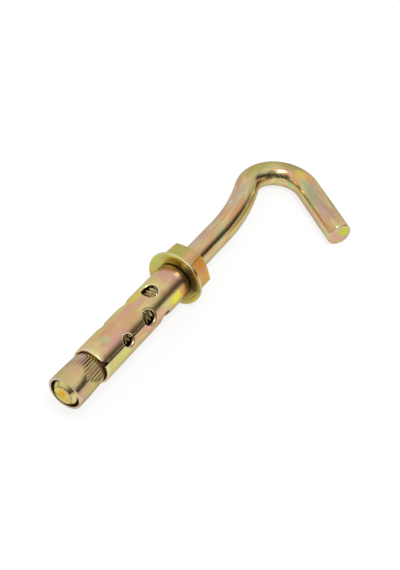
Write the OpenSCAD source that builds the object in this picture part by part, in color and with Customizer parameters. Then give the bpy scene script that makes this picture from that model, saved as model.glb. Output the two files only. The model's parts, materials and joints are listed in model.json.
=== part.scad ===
// Hook anchor bolt: a steel hook on a threaded shank, with a flange nut, a slit
// and drilled sleeve, and a knurled cone nut that spreads the sleeve in its hole.
// The whole anchor lies as it comes to rest, on the flange's rim, the hook's crown
// and the hook's tip. Its own axis runs from the cone nut to the hook, and the
// origin is the middle of the flange's bearing face.

/* [Bolt] */
// Outside diameter of the rolled thread
thread_d = 7.8; // [7.6:0.05:8]
// Diameter of the smooth rod that the hook is bent from
rod_d = 7; // [6:0.05:7.4]
// How far the thread stops short of the nut's top face
thread_stop = 0.5; // [0:0.1:2]
// Cone length where the thread runs down to the rod
thread_runout = 0.4; // [0.2:0.1:1]
// How far the bolt's end stands out of the cone nut
bolt_out = 0.6; // [0:0.1:3]
// Chamfer at the bolt's threaded end
bolt_chamfer = 1.4; // [0.3:0.1:1.8]

/* [Hook] */
// Distance from the bearing face to the start of the first bend
stem_l = 23; // [12:0.5:60]
// Centreline radius of the first, slight bend
bend_r = 60; // [20:1:120]
// Angle of the first bend
bend_a = 19.8; // [10:0.1:30]
// Centreline radius of the hook
hook_r = 9.3; // [7:0.1:20]
// Angle that the hook turns back through
hook_a = 145.5; // [120:0.5:190]
// Straight length after the hook
leg_l = 20; // [8:0.5:40]
// Bevel around the hook's cut end
tip_bevel = 0.4; // [0.1:0.05:1]

/* [Flange nut] */
// Width across the hexagon's flats
nut_af = 12.8; // [12:0.1:14]
// Height of the nut, flange included
nut_h = 6.5; // [5:0.1:10]
// Diameter of the flange
flange_d = 15.8; // [15.2:0.1:22]
// Thickness of the flange at its rim
flange_rim = 0.9; // [0.5:0.1:2]
// Bevel around the flange's bearing face
rim_bevel = 0.2; // [0.1:0.05:0.4]
// Slope of the flange's conical top, from the bearing face's plane
flange_slope = 38; // [20:1:60]
// Depth of the bevel on the hexagon's far corners
nut_bevel = 0.75; // [0.3:0.05:1.2]
// Width of the countersink at both ends of the nut's thread
nut_sink = 0.3; // [0.1:0.05:0.6]
// Angle of the hexagon's front corner about the bolt's axis
nut_turn = 119.6; // [90:0.1:150]

/* [Sleeve] */
// Outside diameter of the sleeve
sleeve_d = 10; // [10:0.1:12]
// Thickness of the sleeve's sheet
sleeve_wall = 0.7; // [0.5:0.05:0.8]
// Length of the sleeve
sleeve_l = 35.5; // [30:0.5:60]
// Play between the sleeve and the flange
sleeve_play = 0.35; // [0.2:0.05:1]
// How far the loose sleeve hangs below the bolt's axis
sleeve_drop = 0.15; // [0:0.01:0.2]
// Slits in the sleeve, and holes around it in each ring
slit_n = 3; // [2:1:4]
// Width of each slit, which runs from the mouth up to the middle ring of holes
slit_w = 0.3; // [0.1:0.05:1]
// Angle of the first slit about the bolt's axis
slit_turn = 143; // [120:1:160]
// Width of the notch that the first slit opens into at the mouth
notch_w = 1.7; // [0.8:0.1:2.5]
// Depth of that notch
notch_l = 1.3; // [0.5:0.1:3]
// Diameter of the holes nearest the flange
hole_a_d = 4.2; // [2:0.1:5]
// Their distance from the flange
hole_a_x = 10.9; // [6:0.1:12]
// Angle of the first of them about the axis
hole_a_turn = 82; // [70:0.5:100]
// Diameter of the holes in the middle ring
hole_b_d = 3.9; // [2:0.1:5]
// Their distance from the flange
hole_b_x = 17.1; // [14:0.1:20]
// Angle of the first of them about the axis
hole_b_turn = 138.5; // [130:0.5:150]
// Diameter of the holes nearest the mouth
hole_c_d = 3; // [2:0.1:4]
// Their distance from the flange
hole_c_x = 26.1; // [23:0.1:28]
// Angle of the first of them about the axis
hole_c_turn = 140; // [130:0.5:150]

/* [Cone nut] */
// Diameter of the cone nut's plain end
cone_d = 9.3; // [9:0.05:9.8]
// Length of the cone nut
cone_l = 11.2; // [8:0.1:20]
// Length of its plain end
cone_plain_l = 3.4; // [2:0.1:5]
// Diameter at the shoulder, the small end of the knurled taper
cone_shoulder_d = 8.75; // [8.7:0.05:9]
// Distance from the sleeve's mouth out to the shoulder
cone_shoulder_x = 1; // [0.5:0.1:2]
// Diameter of the leading end, inside the sleeve
cone_lead_d = 8.2; // [8.15:0.01:8.25]
// How far the leading end reaches into the sleeve
cone_in = 1.1; // [0.5:0.1:3]
// Round at the cone nut's outer edge
cone_round = 0.25; // [0.1:0.05:0.5]
// Width of the countersink in its end face
cone_sink = 0.1; // [0.05:0.05:0.35]
// Distance from the plain end to where the grooves begin
knurl_x = 0.3; // [0.1:0.1:2]
// Grooves around the knurl
knurl_n = 36; // [18:1:40]
// Depth of the knurl's grooves at the shoulder
knurl_depth = 0.18; // [0.05:0.01:0.22]
// Included angle of each groove
knurl_angle = 90; // [60:5:100]

/* [Fit] */
// Radial clearance of each nut's thread on the bolt's thread
thread_clear = 0.05; // [0.02:0.01:0.09]

/* [Hidden] */
$fn = 96;
cut = 1; // how far a cutting shape stands past what it cuts
band_w = 0.4; // width of the band where two lengths of the rod meet
band_over = 0.02; // how far that band stands out of the rod
flange_under = 0.4; // how far the flange's cone runs on inside the hexagon's flats
slit_into = 0.25; // how far a slit runs into the middle ring's hole, as a share of its diameter

zinc_straw = "#c9ab6c";
zinc_olive = "#b8a45a";
zinc_rose = "#c79f78";
zinc_pale = "#cdb98a";

rod_r = rod_d / 2;
thread_r = thread_d / 2;
bore_r = thread_r + thread_clear;
mouth_x = -sleeve_play - sleeve_l;
slit_end_x = -hole_b_x - hole_b_d * (0.5 - slit_into);
wall_tool_r = sleeve_d / 2 - sleeve_wall - cut;
wall_tool_l = sleeve_wall + 2 * cut;
cone_end_x = mouth_x + cone_in - cone_l;
taper_x = cone_end_x + cone_plain_l;
shoulder_x = mouth_x - cone_shoulder_x;
bolt_end_x = cone_end_x - bolt_out;
thread_top_x = nut_h - thread_stop;

// Centreline of the hook, in the hook's own plane
hook_dir = bend_a - hook_a;
bend_end = [stem_l + bend_r * sin(bend_a), bend_r * (1 - cos(bend_a))];
hook_mid = bend_end + hook_r * [sin(bend_a), -cos(bend_a)];
hook_end = hook_mid + hook_r * [-sin(hook_dir), cos(hook_dir)];
leg_dir = [cos(hook_dir), sin(hook_dir)];
tip = hook_end + leg_l * leg_dir;

// The resting tilt: the floor meets the flange's rim, the hook's crown and the rim
// of its tip. The floor is the plane a x + b y + z = constant in the bolt's frame, and
// each round of the recursion puts the last tilt into the round parts' reach below it.
function rim_reach(a, b) = flange_d / 2 * sqrt(b * b + 1);
function crown_reach(a, b) = hook_r * sqrt(a * a + b * b) + rod_r * sqrt(a * a + b * b + 1);
function tip_reach(a, b) = rod_r * sqrt(a * a + b * b + 1 - pow(a * leg_dir.x + b * leg_dir.y, 2));
function rest_tilt(a, b, rounds) = rounds == 0 ? [a, b] :
    let(crown = crown_reach(a, b) - rim_reach(a, b))
    let(end = tip_reach(a, b) - rim_reach(a, b))
    let(crown_x = hook_mid.x - flange_rim, end_x = tip.x - flange_rim)
    let(det = crown_x * tip.y - end_x * hook_mid.y)
    rest_tilt((crown * tip.y - end * hook_mid.y) / det, (crown_x * end - end_x * crown) / det, rounds - 1);
rest = rest_tilt(0, 0, 20);
rest_roll = atan(rest[1]);
rest_pitch = atan2(-rest[0], sqrt(1 + rest[1] * rest[1]));

// From the bolt's own frame, axis along X and hook in the XY plane, to the resting
// frame, where a loose piece hangs by its drop below the bolt's axis
module lie(drop = 0)
    rotate([0, rest_pitch, 0])
        translate([0, 0, -drop])
            rotate([rest_roll, 0, 0])
                children();

// A shape drawn along Z, turned to run along the bolt's axis from a given place
module along(x) translate([x, 0, 0]) rotate([0, 90, 0]) children();

// Angles about the axis count from the hook's side, so that a tool drawn along X in
// the turned frame points out through the wall at that angle
module turned(angle) rotate([angle, 0, 0]) rotate([0, 0, 90]) children();

// A round part from its outline of [place along the axis, radius]
module turning(outline)
    rotate([0, 90, 0])
        rotate_extrude()
            polygon([for (p = outline) [p[1], p[0]]]);

// The threaded shank and the smooth stem above it, turned in one
module shank_and_stem()
    turning([[bolt_end_x, 0],
             [bolt_end_x, thread_r - bolt_chamfer],
             [bolt_end_x + bolt_chamfer, thread_r],
             [thread_top_x - thread_runout, thread_r],
             [thread_top_x, rod_r],
             [stem_l, rod_r],
             [stem_l, 0]]);

// A length of rod that leaves the origin along X and turns towards Y
module bent_rod(radius, angle)
    translate([0, radius, 0])
        rotate([0, 0, -90])
            rotate_extrude(angle = angle)
                translate([radius, 0])
                    circle(r = rod_r);

// The frame at the far end of such a length
module past_bend(radius, angle)
    translate([0, radius, 0])
        rotate([0, 0, angle])
            translate([0, -radius, 0])
                children();

// A hair-thin band over the place where two lengths of the rod meet
module meeting_band()
    along(-band_w / 2)
        cylinder(r = rod_r + band_over, h = band_w);

module leg()
    turning([[0, 0],
             [0, rod_r],
             [leg_l - tip_bevel, rod_r],
             [leg_l, rod_r - tip_bevel],
             [leg_l, 0]]);

module hook() {
    meeting_band();
    bent_rod(bend_r, bend_a);
    past_bend(bend_r, bend_a) {
        meeting_band();
        mirror([0, 1, 0]) {
            bent_rod(hook_r, hook_a);
            past_bend(hook_r, hook_a) {
                meeting_band();
                leg();
            }
        }
    }
}

module hook_bolt() {
    color(zinc_straw)
        lie()
            union() {
                shank_and_stem();
                translate([stem_l, 0, 0])
                    hook();
            }
}

// The hexagon, its far corners turned down by a 30 degree bevel
module hexagon() {
    corner_r = nut_af / 2 / cos(30);
    intersection() {
        along(0)
            rotate([0, 0, 90 + nut_turn])
                cylinder(r = corner_r, h = nut_h, $fn = 6);
        turning([[0, 0],
                 [0, corner_r + cut],
                 [nut_h - nut_bevel - cut * tan(30), corner_r + cut],
                 [nut_h, corner_r - nut_bevel / tan(30)],
                 [nut_h, 0]]);
    }
}

// The flange, whose conical top runs on until it is inside the hexagon's flats
module flange() {
    top_r = nut_af / 2 - flange_under;
    top_x = flange_rim + (flange_d / 2 - top_r) * tan(flange_slope);
    turning([[0, 0],
             [0, flange_d / 2 - rim_bevel],
             [rim_bevel, flange_d / 2],
             [flange_rim, flange_d / 2],
             [top_x, top_r],
             [top_x, 0]]);
}

module flange_nut() {
    color(zinc_olive)
        lie()
            difference() {
                union() {
                    hexagon();
                    flange();
                }
                along(-cut)
                    cylinder(r = bore_r, h = nut_h + 2 * cut);
                turning([[-cut, 0],
                         [-cut, bore_r + nut_sink + cut],
                         [nut_sink, bore_r],
                         [nut_sink, 0]]);
                turning([[nut_h + cut, 0],
                         [nut_h + cut, bore_r + nut_sink + cut],
                         [nut_h - nut_sink, bore_r],
                         [nut_h - nut_sink, 0]]);
            }
}

// One ring of holes through the sleeve's wall
module hole_ring(distance, diameter, first_turn)
    for (i = [0 : slit_n - 1])
        translate([-distance, 0, 0])
            turned(first_turn + i * 360 / slit_n)
                along(wall_tool_r)
                    cylinder(d = diameter, h = wall_tool_l);

// The slits, each from the mouth into a hole of the middle ring
module slits()
    for (i = [0 : slit_n - 1])
        rotate([slit_turn + i * 360 / slit_n, 0, 0])
            translate([mouth_x - cut, wall_tool_r, -slit_w / 2])
                cube([cut + slit_end_x - mouth_x, wall_tool_l, slit_w]);

// The notch that the first slit opens into
module notch()
    rotate([slit_turn, 0, 0])
        translate([mouth_x, 0, 0])
            rotate([90, 0, 0])
                mirror([0, 0, 1])
                    linear_extrude(sleeve_d)
                        polygon([[-cut, -notch_w - cut * notch_w / notch_l],
                                 [notch_l, 0],
                                 [notch_l, slit_w / 2],
                                 [-cut, slit_w / 2]]);

module sleeve() {
    color(zinc_rose)
        lie(sleeve_drop)
            difference() {
                along(mouth_x)
                    cylinder(d = sleeve_d, h = sleeve_l);
                along(mouth_x - cut)
                    cylinder(r = sleeve_d / 2 - sleeve_wall, h = sleeve_l + 2 * cut);
                slits();
                notch();
                hole_ring(hole_a_x, hole_a_d, hole_a_turn);
                hole_ring(hole_b_x, hole_b_d, hole_b_turn);
                hole_ring(hole_c_x, hole_c_d, hole_c_turn);
            }
}

// The knurl's grooves follow the taper: deepest at the shoulder, out at the plain end
module knurl() {
    start_x = cone_end_x + cone_plain_l + knurl_x;
    taper_l = shoulder_x - start_x;
    start_r = cone_d / 2 - (cone_d - cone_shoulder_d) / 2 * knurl_x / (shoulder_x - taper_x);
    fall = (start_r - cone_shoulder_d / 2 + knurl_depth) / taper_l;
    height = 3 * knurl_depth;
    half_w = height * tan(knurl_angle / 2);
    for (i = [0 : knurl_n - 1])
        rotate([i * 360 / knurl_n, 0, 0])
            translate([start_x, start_r, 0])
                rotate([0, 0, -atan(fall)])
                    translate([-cut, 0, 0])
                        rotate([90, 0, 90])
                            linear_extrude(cut + taper_l + cone_shoulder_x)
                                polygon([[0, 0],
                                         [height, half_w],
                                         [height, -half_w]]);
}

module cone_nut() {
    color(zinc_pale)
        lie()
            difference() {
                turning([[cone_end_x, 0],
                         [cone_end_x, cone_d / 2 - cone_round],
                         [cone_end_x + cone_round / 3, cone_d / 2 - cone_round / 3],
                         [cone_end_x + cone_round, cone_d / 2],
                         [taper_x, cone_d / 2],
                         [shoulder_x, cone_shoulder_d / 2],
                         [mouth_x, cone_lead_d / 2],
                         [mouth_x + cone_in, cone_lead_d / 2],
                         [mouth_x + cone_in, 0]]);
                along(cone_end_x - cut)
                    cylinder(r = bore_r, h = cone_l + 2 * cut);
                turning([[cone_end_x - cut, 0],
                         [cone_end_x - cut, bore_r + cone_sink + cut],
                         [cone_end_x + cone_sink, bore_r],
                         [cone_end_x + cone_sink, 0]]);
                knurl();
            }
}

hook_bolt();
flange_nut();
sleeve();
cone_nut();
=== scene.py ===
import json
import math

import bmesh
import bpy
from mathutils import Matrix, Vector


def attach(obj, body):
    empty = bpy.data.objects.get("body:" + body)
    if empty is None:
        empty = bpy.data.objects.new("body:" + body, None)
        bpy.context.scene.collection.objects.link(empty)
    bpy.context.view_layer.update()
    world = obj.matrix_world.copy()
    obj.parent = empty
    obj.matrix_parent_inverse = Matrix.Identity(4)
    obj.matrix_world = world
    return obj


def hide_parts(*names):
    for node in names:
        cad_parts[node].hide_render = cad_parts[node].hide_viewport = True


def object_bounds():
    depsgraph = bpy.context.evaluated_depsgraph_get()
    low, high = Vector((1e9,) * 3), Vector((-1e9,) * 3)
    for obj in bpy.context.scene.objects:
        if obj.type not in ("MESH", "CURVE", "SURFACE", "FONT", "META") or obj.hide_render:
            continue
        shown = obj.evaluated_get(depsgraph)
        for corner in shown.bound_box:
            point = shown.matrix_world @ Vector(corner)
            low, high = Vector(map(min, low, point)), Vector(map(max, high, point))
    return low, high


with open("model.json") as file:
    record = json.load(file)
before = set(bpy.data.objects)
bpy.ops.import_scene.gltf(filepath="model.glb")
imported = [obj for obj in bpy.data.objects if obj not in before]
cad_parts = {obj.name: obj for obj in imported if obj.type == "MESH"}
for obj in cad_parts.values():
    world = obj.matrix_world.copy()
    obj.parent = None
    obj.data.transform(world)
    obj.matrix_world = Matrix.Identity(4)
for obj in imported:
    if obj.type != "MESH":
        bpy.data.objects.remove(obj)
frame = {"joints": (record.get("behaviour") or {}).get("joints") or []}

# Hook anchor bolt, dressed. The CAD frame gives the sizes and the way the anchor lies. Each piece
# is modelled in the bolt's own frame, axis along X from the cone nut to the hook and the hook in
# the XY plane, and is then laid down as the anchor comes to rest.

bl_info = {
    "name": "Hook anchor bolt",
    "version": (1, 0, 0),
    "blender": (4, 5, 0),
    "location": "View3D > Sidebar > Anchor",
    "description": "Builds a hook anchor bolt with its thread, nut, sleeve and cone nut",
    "category": "Add Mesh",
}

MM = 0.001
CAD_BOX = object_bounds()
AXIS = next(j["axis"] for j in frame["joints"] if j["name"] == "sleeve_travel")
REST_PITCH = math.asin(AXIS[2])


# Sizes and colours ------------------------------------------------------------

def length(name, mm, note):
    return bpy.props.FloatProperty(name=name, description=note, default=mm * MM, unit="LENGTH", precision=5)


def angle(name, degrees, note):
    return bpy.props.FloatProperty(name=name, description=note, default=math.radians(degrees), subtype="ANGLE")


def count(name, number, note):
    return bpy.props.IntProperty(name=name, description=note, default=number, min=1)


def linear(hex_code):
    """An sRGB hex colour as linear red, green and blue."""
    parts = [int(hex_code[i:i + 2], 16) / 255 for i in (1, 3, 5)]
    return tuple(c / 12.92 if c <= 0.04045 else ((c + 0.055) / 1.055) ** 2.4 for c in parts)


def colour(name, hex_code, note):
    return bpy.props.FloatVectorProperty(name=name, description=note, default=linear(hex_code),
                                         size=3, min=0, max=1, subtype="COLOR")


class AnchorSizes(bpy.types.PropertyGroup):
    rest_roll: angle("Resting roll", 2.97635, "Turn about the bolt's axis as it lies")
    thread_d: length("Thread diameter", 7.8, "Outside diameter of the rolled thread")
    root_d: length("Thread root", 6.6, "Diameter at the bottom of the thread")
    pitch: length("Thread pitch", 1.25, "Distance from one thread ridge to the next")
    thread_top: length("Thread end", 5.9, "Where the thread ends, inside the flange nut")
    runout_l: length("Thread runout", 1.1, "Length over which the thread runs out into the rod")
    hair: length("Hair", 0.01, "How far outlines keep inside the solids that they dress")
    bolt_end: length("Bolt end", 46.55, "Distance from the bearing face to the threaded end")
    bolt_chamfer: length("Bolt chamfer", 1.4, "Chamfer at the threaded end")
    rod_d: length("Rod diameter", 6.97, "Diameter of the smooth rod")
    stem_l: length("Stem", 23, "From the bearing face to the first bend")
    bend_r: length("Bend radius", 60, "Centreline radius of the first bend")
    bend_a: angle("Bend angle", 19.8, "Angle of the first bend")
    hook_r: length("Hook radius", 9.3, "Centreline radius of the hook")
    hook_a: angle("Hook angle", 145.5, "Angle that the hook turns back through")
    leg_l: length("Leg", 19.93, "Straight length after the hook")
    tip_bevel: length("Tip bevel", 0.4, "Bevel around the cut end")
    nut_af: length("Across flats", 12.8, "Width across the hexagon's flats")
    nut_h: length("Nut height", 6.5, "Height of the nut, flange included")
    nut_bevel: length("Corner bevel", 0.75, "Depth of the bevel on the hexagon's corners")
    nut_turn: angle("Nut angle", 119.6, "Angle of the hexagon's front corner")
    flange_d: length("Flange diameter", 15.8, "Diameter of the flange")
    flange_rim: length("Flange rim", 0.9, "Thickness of the flange at its rim")
    flange_slope: angle("Flange slope", 38, "Slope of the flange's conical top")
    sleeve_d: length("Sleeve diameter", 10, "Outside diameter of the sleeve")
    sleeve_wall: length("Sleeve wall", 0.7, "Thickness of the sleeve's sheet")
    sleeve_l: length("Sleeve length", 35.5, "Length of the sleeve")
    sleeve_play: length("Sleeve play", 0.35, "Gap between the sleeve and the flange")
    sleeve_drop: length("Sleeve drop", 0.15, "How far the sleeve hangs below the axis")
    slit_n: count("Slits", 3, "Slits in the sleeve, and holes in each ring")
    slit_w: length("Slit width", 0.3, "Width of each slit")
    slit_turn: angle("Slit angle", 143, "Angle of the first slit about the axis")
    notch_w: length("Notch width", 1.7, "Width of the notch at the mouth")
    notch_l: length("Notch depth", 1.3, "Depth of the notch at the mouth")
    hole_a_d: length("First hole diameter", 4.2, "Holes nearest the flange")
    hole_a_x: length("First hole place", 10.9, "Their distance from the flange")
    hole_a_turn: angle("First hole angle", 82, "Angle of the first of them")
    hole_b_d: length("Middle hole diameter", 3.9, "Holes in the middle ring")
    hole_b_x: length("Middle hole place", 17.1, "Their distance from the flange")
    hole_b_turn: angle("Middle hole angle", 138.5, "Angle of the first of them")
    hole_c_d: length("Last hole diameter", 3, "Holes nearest the mouth")
    hole_c_x: length("Last hole place", 26.1, "Their distance from the flange")
    hole_c_turn: angle("Last hole angle", 140, "Angle of the first of them")
    cone_d: length("Cone nut diameter", 9.3, "Diameter of the cone nut's plain end")
    cone_l: length("Cone nut length", 11.2, "Length of the cone nut")
    cone_plain_l: length("Plain end", 3.4, "Length of the cone nut's plain end")
    cone_in: length("Cone nut overlap", 1.1, "How far the cone nut reaches into the sleeve")
    shoulder_d: length("Shoulder diameter", 8.75, "Small end of the knurled taper")
    shoulder_x: length("Shoulder place", 1, "Distance from the mouth out to the shoulder")
    lead_d: length("Lead diameter", 8.2, "Diameter of the cone nut's leading end")
    knurl_n: count("Knurl grooves", 36, "Grooves around the knurl")
    knurl_depth: length("Knurl depth", 0.18, "Depth of the grooves at the shoulder")


class AnchorColours(bpy.types.PropertyGroup):
    straw: colour("Straw", "#d8bf8a", "Passivated zinc, thin film")
    tan: colour("Tan", "#d2a87c", "Passivated zinc, warm film")
    rose: colour("Rose", "#d8a699", "Passivated zinc, thicker film")
    mauve: colour("Mauve", "#c6aea4", "Passivated zinc, greyed rose")
    lime: colour("Lime", "#d6d67c", "Passivated zinc, green order of the film")
    green: colour("Green", "#bcc592", "Passivated zinc, grey green")
    gold: colour("Gold", "#e2c445", "Passivated zinc, saturated yellow")
    orange: colour("Orange", "#d8974c", "Passivated zinc, orange order of the film")
    olive: colour("Olive", "#b5a962", "Passivated zinc, olive")
    # Brown is the pits' colour and also the painted shade in grooves, holes and joints
    brown: colour("Brown", "#463821", "Passivated zinc in pits, grooves and joints")
    # Pale is laid as painted highlight on edges, rims and ends
    pale: colour("Pale", "#e9dfc0", "Zinc rubbed bright on an edge")
    paper: colour("Floor", "#f4f4f2", "Plain pale floor")


def sizes():
    return bpy.context.scene.anchor_sizes


def colours():
    return bpy.context.scene.anchor_colours


# Work in the 3D view ------------------------------------------------------------

def deselect():
    if bpy.context.object and bpy.context.object.mode != "OBJECT":
        bpy.ops.object.mode_set(mode="OBJECT")
    bpy.ops.object.select_all(action="DESELECT")


def take(piece):
    """Makes a piece the only one selected, and the active one."""
    deselect()
    piece.select_set(True)
    bpy.context.view_layer.objects.active = piece


def edit(piece, everything=True):
    take(piece)
    bpy.ops.object.mode_set(mode="EDIT")
    bpy.ops.mesh.select_all(action="SELECT" if everything else "DESELECT")


def done():
    bpy.ops.object.mode_set(mode="OBJECT")


def select_edges(piece, wanted):
    """Selects the edges of a piece in edit mode for which wanted(edge) holds."""
    mesh = bmesh.from_edit_mesh(piece.data)
    for face in mesh.faces:
        face.select = False
    for edge in mesh.edges:
        edge.select = False
    for vert in mesh.verts:
        vert.select = False
    for edge in mesh.edges:
        if wanted(edge):
            edge.select_set(True)
    bmesh.update_edit_mesh(piece.data)


def finish_transform(piece):
    take(piece)
    bpy.ops.object.transform_apply(location=True, rotation=True, scale=True)


def apply_all(piece):
    take(piece)
    for modifier in list(piece.modifiers):
        bpy.ops.object.modifier_apply(modifier=modifier.name)


def trace(name, points, closed=False):
    """A chain of edges, drawn by pushing one vertex from point to point."""
    deselect()
    bpy.ops.mesh.primitive_plane_add(size=MM, location=points[0])
    piece = bpy.context.object
    piece.name = piece.data.name = name
    edit(piece)
    bpy.ops.mesh.merge(type="CENTER")
    for here, there in zip(points, points[1:]):
        step = Vector(there) - Vector(here)
        bpy.ops.mesh.extrude_vertices_move(TRANSFORM_OT_translate={"value": step})
    if closed:
        bpy.ops.mesh.select_all(action="DESELECT")
        mesh = bmesh.from_edit_mesh(piece.data)
        for vert in mesh.verts:
            vert.select_set(len(vert.link_edges) == 1)
        bmesh.update_edit_mesh(piece.data)
        bpy.ops.mesh.edge_face_add()
    done()
    finish_transform(piece)
    return piece


def mend(piece, gap=1e-3 * MM):
    """Merges doubled vertices and turns every face outwards."""
    edit(piece)
    bpy.ops.mesh.remove_doubles(threshold=gap)
    bpy.ops.mesh.normals_make_consistent(inside=False)
    done()


def turn(name, outline, steps=96, closed=True, axis=(1, 0, 0)):
    """A turned piece: its outline of (place, radius) in mm, spun about the axis."""
    along = Vector(axis)
    out = Vector((0, 0, 1)) if along.x else Vector((1, 0, 0))
    piece = trace(name, [(along * x + out * r) * MM for x, r in outline], closed)
    edit(piece)
    bpy.ops.mesh.spin(steps=steps, angle=math.tau, center=(0, 0, 0), axis=axis)
    done()
    mend(piece)
    return piece


def carve(piece, tool, operation="DIFFERENCE"):
    carver = piece.modifiers.new("Carve", "BOOLEAN")
    carver.operation, carver.object, carver.solver = operation, tool, "EXACT"
    apply_all(piece)
    bpy.data.objects.remove(tool)


def cut_at(piece, x, keep_above, fill=True):
    """Cuts a piece across the bolt's axis at x, in metres."""
    edit(piece)
    bpy.ops.mesh.bisect(plane_co=(x, 0, 0), plane_no=(1, 0, 0), use_fill=fill, threshold=1e-5 * MM,
                        clear_inner=keep_above, clear_outer=not keep_above)
    done()


def reshape(piece, move):
    for vert in piece.data.vertices:
        vert.co = move(vert.co.copy())
    piece.data.update()


def radial(move):
    """Turns a rule on (x, angle, radius) into one that moves points."""
    def moved(point):
        spin = math.atan2(point.z, point.y)
        r = move(point.x, spin, math.hypot(point.y, point.z))
        return Vector((point.x, r * math.cos(spin), r * math.sin(spin)))
    return moved


def smooth(piece, degrees=35):
    take(piece)
    bpy.ops.object.shade_smooth_by_angle(angle=math.radians(degrees))


def soft_edges(piece, width_mm, degrees=30, segments=2):
    """Rounds every edge sharper than the angle."""
    rounder = piece.modifiers.new("Edges", "BEVEL")
    rounder.width, rounder.segments = width_mm * MM, segments
    rounder.limit_method, rounder.angle_limit = "ANGLE", math.radians(degrees)
    rounder.use_clamp_overlap = True
    apply_all(piece)


def remember(piece, place=lambda point: point, film_shade_and_sheen=lambda point: 0.0):
    """Keeps what the finish needs of each point: its place in the piece's own straight frame,
    in mm, and a share from 0 to 1 of painted shade in a groove, hole or joint, where the film
    is also rougher, or a share from 0 to -1 of painted highlight on edges."""
    kept = piece.data.attributes
    kept.new("own_place", "FLOAT_VECTOR", "POINT")
    kept.new("film_shade_and_sheen", "FLOAT", "POINT")
    points = [vert.co.copy() for vert in piece.data.vertices]
    places = [value for point in points for value in place(point) / MM]
    kept["own_place"].data.foreach_set("vector", places)
    kept["film_shade_and_sheen"].data.foreach_set("value", [min(max(film_shade_and_sheen(point / MM), -1.0), 1.0) for point in points])


def lie_down(piece, drop=0.0):
    """Lays a piece down from the bolt's frame to the resting frame."""
    place = (Matrix.Rotation(REST_PITCH, 4, "Y") @ Matrix.Translation((0, 0, -drop))
             @ Matrix.Rotation(sizes().rest_roll, 4, "X"))
    piece.matrix_world = place
    finish_transform(piece)


def dress(piece, finish, node):
    for old in list(piece.data.materials):
        piece.data.materials.pop()
    piece.data.materials.append(finish)
    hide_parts(node)
    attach(piece, node)


# Finishes ------------------------------------------------------------

def add(tree, kind, links=(), stops=(), values=None, **settings):
    """Adds a shader node: its settings, input values by place or name, links as (socket, from
    node, output), and colour stops as (place, colour)."""
    node = tree.nodes.new(kind)
    for key, value in settings.items():
        if hasattr(node, key):
            setattr(node, key, value)
        else:
            node.inputs[key.replace("_", " ")].default_value = value
    for socket, value in (values or {}).items():
        node.inputs[socket].default_value = value
    for socket, source, output in links:
        tree.links.new(source.outputs[output], node.inputs[socket])
    if stops:
        elements = node.color_ramp.elements
        while len(elements) < len(stops):
            elements.new(0.5)
        for element, (place, shade) in zip(elements, stops):
            element.position, element.color = place, (*shade, 1)
    return node


def new_material(name):
    material = bpy.data.materials.new(name)
    material.use_nodes = True
    tree = material.node_tree
    tree.nodes.clear()
    return material, tree


def around(x, degrees, r):
    """A place on a round piece, in mm, from its angle about the axis."""
    spin = math.radians(degrees)
    return x, r * math.cos(spin), r * math.sin(spin)


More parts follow.
